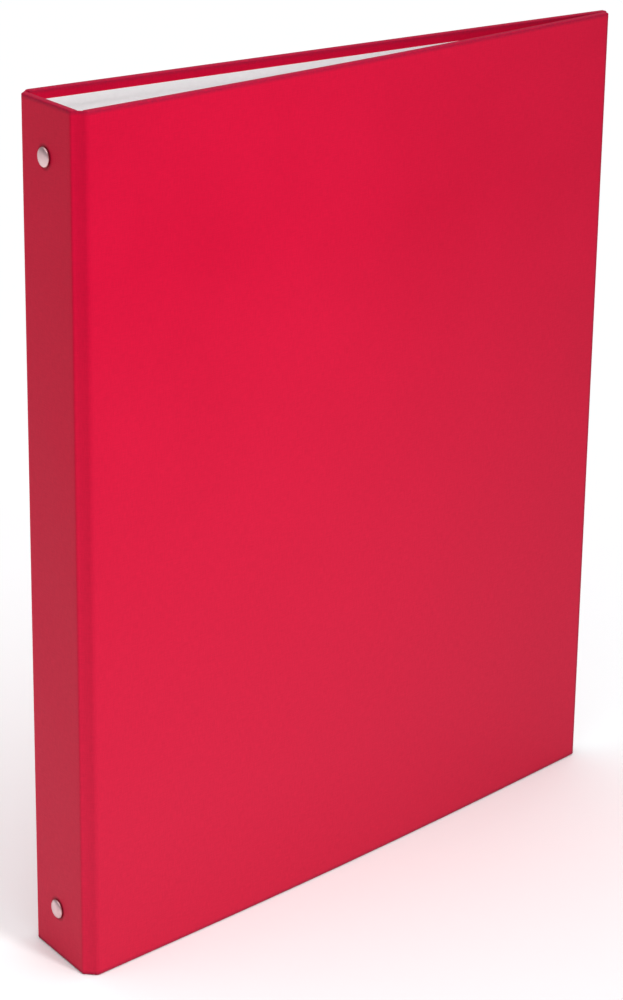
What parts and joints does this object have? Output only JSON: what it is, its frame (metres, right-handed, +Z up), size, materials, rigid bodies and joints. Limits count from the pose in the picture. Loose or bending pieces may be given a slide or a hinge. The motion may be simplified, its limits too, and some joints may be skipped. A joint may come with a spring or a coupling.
{
  "type": "ring binder",
  "caption": "Upright wrapped-board ring binder: two hinged covers on a narrow spine, with a riveted mechanism whose split rings open and close to hold punched sheets.",
  "frame": {"origin": "on the standing surface, under the middle of the bounding box", "axes": "+X from the spine to the fore edge, +Y from the front cover to the back cover, +Z up along the spine"},
  "size_m": [0.2666, 0.0396, 0.32],
  "materials": {
    "covering": "red laminated covering paper with a fine linen emboss, satin",
    "board": "raw greyboard",
    "lining": "smooth white lining paper",
    "plated_steel": "bright nickel plate",
    "rail": "dull zinc plate"
  },
  "bodies": {
    "spine": {"spine_board": "board", "spine_covering": "covering", "spine_lining": "lining", "front_hinge_strip": "covering", "back_hinge_strip": "covering", "ring_housing": "plated_steel", "lower_rivet": "plated_steel", "upper_rivet": "plated_steel"},
    "front_cover": {"front_cover_board": "board", "front_cover_covering": "covering", "front_cover_lining": "lining"},
    "back_cover": {"back_cover_board": "board", "back_cover_covering": "covering", "back_cover_lining": "lining"},
    "front_rail": {"front_ring_rail": "rail", "front_half_ring_1": "plated_steel", "front_half_ring_2": "plated_steel", "front_half_ring_3": "plated_steel", "front_half_ring_4": "plated_steel"},
    "back_rail": {"back_ring_rail": "rail", "back_half_ring_1": "plated_steel", "back_half_ring_2": "plated_steel", "back_half_ring_3": "plated_steel", "back_half_ring_4": "plated_steel"},
    "lower_lever": {"lower_lever": "plated_steel"},
    "upper_lever": {"upper_lever": "plated_steel"}
  },
  "joints": [
    {"name": "front_cover_hinge", "type": "hinge", "parent": "spine", "child": "front_cover", "pos_m": [-0.13032, -0.0188, 0], "axis": [0, 0, -1], "range_deg": [0, 175], "deforming": ["front_hinge_strip"]},
    {"name": "back_cover_hinge", "type": "hinge", "parent": "spine", "child": "back_cover", "pos_m": [-0.13032, 0.0184, 0], "axis": [0, 0, 1], "range_deg": [0, 175], "deforming": ["back_hinge_strip"]},
    {"name": "ring_opening", "type": "hinge", "parent": "spine", "child": "front_rail", "pos_m": [-0.12593, -0.0081, 0], "axis": [0, 0, -1], "range_deg": [0, 10]},
    {"name": "back_rail_turn", "type": "hinge", "parent": "spine", "child": "back_rail", "pos_m": [-0.12593, 0.0097, 0], "axis": [0, 0, 1], "range_deg": [0, 10]},
    {"name": "lower_lever_turn", "type": "hinge", "parent": "spine", "child": "lower_lever", "pos_m": [-0.12573, 0.0008, 0.013], "axis": [0, 1, 0], "range_deg": [0, 20]},
    {"name": "upper_lever_turn", "type": "hinge", "parent": "spine", "child": "upper_lever", "pos_m": [-0.12573, 0.0008, 0.307], "axis": [0, -1, 0], "range_deg": [0, 20]}
  ],
  "couplings": [
    {"joint": "back_rail_turn", "follows": "ring_opening", "ratio": 1},
    {"joint": "lower_lever_turn", "follows": "ring_opening", "ratio": 2},
    {"joint": "upper_lever_turn", "follows": "ring_opening", "ratio": 2}
  ]
}
